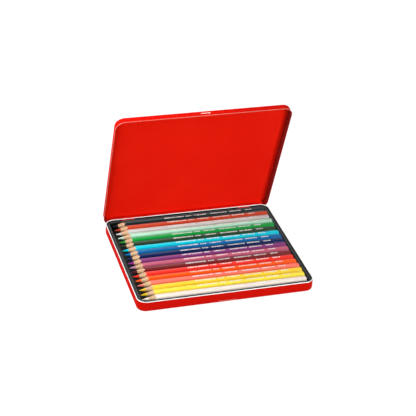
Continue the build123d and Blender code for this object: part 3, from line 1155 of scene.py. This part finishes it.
def sharpened_rod_tree():
    """Tree of a rod along X, sharpened at its low end and rounded at its high end."""
    tree, given = new_shape_tree("sharpened_rod", {
        "Float": ("Across Flats", "Edge Round", "Start", "Start Radius", "Point", "Point Radius",
                  "Cone Angle", "Finish", "End Round", "Lip"),
        "Bool": ("Round",),
        "Material": ("Cut", "Coat"),
    })
    ring, ring_place = rod_ring(tree, given)
    line, station = rod_line(tree)
    tube = add_node(tree, "GeometryNodeCurveToMesh", inputs={"Curve": line, "Profile Curve": ring})
    moved = add_node(tree, "GeometryNodeSetPosition", inputs={
        "Geometry": tube, "Position": rod_places(tree, given, station, ring_place)})
    closed = add_node(tree, "GeometryNodeMergeByDistance", inputs={
        "Geometry": moved, "Distance": weld_reach})
    real = add_node(tree, "GeometryNodeRealizeInstances", inputs={
        "Geometry": finished_rod(tree, given, closed, station)})
    add_node(tree, "NodeGroupOutput", inputs={"Geometry": real})
    return tree


def grow_piece(name, tree, values, mesh=None):
    """Run a tree on a new object, keep the plain mesh that it makes, and drop the modifier."""
    piece = bpy.data.objects.new(name, mesh or bpy.data.meshes.new(name))
    scene.collection.objects.link(piece)
    modifier = piece.modifiers.new("build", "NODES")
    modifier.node_group = tree
    for item in tree.interface.items_tree:
        if item.in_out == "INPUT" and item.name in values:
            modifier[item.identifier] = values[item.name]
    depsgraph = bpy.context.evaluated_depsgraph_get()
    result = bpy.data.meshes.new_from_object(piece.evaluated_get(depsgraph), depsgraph=depsgraph)
    piece.modifiers.remove(modifier)
    piece.data = result
    return piece


rod_tree = sharpened_rod_tree()
print("nodes in the tree of a rod:", len(rod_tree.nodes))

# %% [markdown]
# ## The row of pencils
# The eighteen pencils lie side by side, points to the left. Each one is grown by the tree with
# its own lacquer and moved, in its mesh, to where its solid lies. The casing and the core stay
# two pieces, as they are on the real pencil, where the core is a glued-in rod. Only the core's
# first stretch is grown, since the casing hides the rest.

# %% Grow the pencils
cone_angle = math.radians(14.0)
point_radius = 0.35 * mm
core_diameter = 3.8 * mm
edge_round = 0.8 * mm
end_round = 1.1 * mm
core_end_round = 0.1 * mm
lacquer_lip = 0.07 * mm
core_rod_length = 14 * mm

casing_names = sorted(name for name in frame["nodes"] if name.endswith("_casing"))
pencil_tops = {}
for casing_name in casing_names:
    body = casing_name[:-len("_casing")]
    tint = body.split("_", 2)[2]
    low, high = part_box(casing_name)
    axis = Matrix.Translation((0, (low.y + high.y) / 2, (low.z + high.z) / 2))
    tip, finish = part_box(f"{body}_core")[0].x, high.x
    core_end = tip + (core_diameter / 2 - point_radius) / math.tan(cone_angle)
    lacquer_code, core_code = pencil_colours[tint]
    lacquer = make_lacquer(tint, lacquer_code)
    pigment = make_pigment_core(tint, core_code)
    casing = grow_piece(f"{tint}_casing", rod_tree, {
        "Across Flats": high.z - low.z, "Edge Round": edge_round, "Start": core_end,
        "Start Radius": core_diameter / 2, "Point": tip, "Point Radius": point_radius,
        "Cone Angle": cone_angle, "Finish": finish, "End Round": end_round, "Lip": lacquer_lip,
        "Cut": cedar, "Coat": lacquer})
    core = grow_piece(f"{tint}_core", rod_tree, {
        "Across Flats": core_diameter, "Start": tip, "Start Radius": point_radius, "Point": tip,
        "Point Radius": point_radius, "Cone Angle": cone_angle, "Finish": tip + core_rod_length,
        "End Round": core_end_round, "Round": True, "Cut": pigment, "Coat": pigment})
    for piece, slot_name in ((casing, f"{tint}_lacquer"), (core, f"{tint}_core")):
        piece.data.transform(axis)
        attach(piece, body)
    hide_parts(casing_name)
    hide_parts(f"{body}_core")
    pencil_tops[body] = (tint, tip, (low.y + high.y) / 2, high.z)
print("pencils:", len(pencil_tops), "triangles in a casing:",
      sum(len(face.vertices) - 2 for face in casing.data.polygons))

# %% [markdown]
# ## Foil marks
# Each pencil is stamped along its top facet with silver foil, here a row of plain bars: upright
# bars of uneven width in a few groups. A group is one edge of a guide mesh, and the tree sets
# the bars along it at an even pitch, each with a seeded width and height. Foil could be a
# pattern in the lacquer, but as thin bars of its own it stays crisp and can be left out. Its
# finish is mostly matt, because at this size its pale tone shows and its mirror image doesn't.

# %% Tree of the foil bars
height_seed_shift = 100.0


def foil_bar_tree():
    """Tree that sets flat bars of uneven width along the edges of a guide mesh."""
    tree, given = new_shape_tree("foil_bars", {
        "Geometry": ("Geometry",),
        "Float": ("Pitch", "Least Width", "Most Width", "Least Height", "Most Height",
                  "Thickness"),
        "Int": ("Seed",),
        "Material": ("Foil",),
    })
    guide = add_node(tree, "GeometryNodeMeshToCurve", inputs={0: given["Geometry"]})
    points = add_node(tree, "GeometryNodeResampleCurve", {"mode": "LENGTH"}, {
        "Curve": guide, "Length": given["Pitch"]})
    bar = add_node(tree, "GeometryNodeMeshCube", inputs={"Size": (1.0, 1.0, 1.0)})
    widths = add_node(tree, "FunctionNodeRandomValue", {"data_type": "FLOAT"}, {
        2: given["Least Width"], 3: given["Most Width"], "Seed": given["Seed"]})
    other_seed = calculate(tree, "ADD", given["Seed"], height_seed_shift)
    heights = add_node(tree, "FunctionNodeRandomValue", {"data_type": "FLOAT"}, {
        2: given["Least Height"], 3: given["Most Height"], "Seed": other_seed})
    size = add_node(tree, "ShaderNodeCombineXYZ", inputs={
        0: widths.outputs[1], 1: heights.outputs[1], 2: given["Thickness"]})
    bars = add_node(tree, "GeometryNodeInstanceOnPoints", inputs={
        "Points": points, "Instance": bar.outputs["Mesh"], "Scale": size})
    real = add_node(tree, "GeometryNodeRealizeInstances", inputs={"Geometry": bars})
    foil = add_node(tree, "GeometryNodeSetMaterial", inputs={
        "Geometry": real, "Material": given["Foil"]})
    add_node(tree, "NodeGroupOutput", inputs={"Geometry": foil})
    return tree


bar_tree = foil_bar_tree()
print("nodes in the tree of the foil:", len(bar_tree.nodes))

# %% [markdown]
# ## Stamping the pencils
# The groups lie at the same places on every pencil, measured from its tip, so one list serves
# all of them. The seed changes from pencil to pencil, so no two rows of bars are alike.

# %% Stamp the foil marks
foil_groups = ((59, 21.3), (83.6, 5.5), (94.1, 2.8), (97.8, 8.3), (112.1, 18.1), (134.2, 13.0),
               (152.8, 7.1))
bar_shape = {
    "Pitch": 1.15 * mm, "Least Width": 0.45 * mm, "Most Width": 1.0 * mm,
    "Least Height": 1.4 * mm, "Most Height": 2.0 * mm, "Thickness": 0.04 * mm,
}
faces_of_a_bar = 6

bar_count = 0
for seed, (body, (tint, tip, y, top)) in enumerate(pencil_tops.items()):
    ends = [(tip + place * mm, y, top) for start, length in foil_groups
            for place in (start, start + length)]
    guide_mesh = bpy.data.meshes.new(f"{tint}_foil_guide")
    guide_mesh.from_pydata(ends, [(i, i + 1) for i in range(0, len(ends), 2)], [])
    marks = grow_piece(f"{tint}_foil_marks", bar_tree, {
        **bar_shape, "Seed": seed, "Foil": silver_foil}, guide_mesh)
    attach(marks, body)
    bar_count += len(marks.data.polygons) // faces_of_a_bar
print("foil bars:", bar_count)
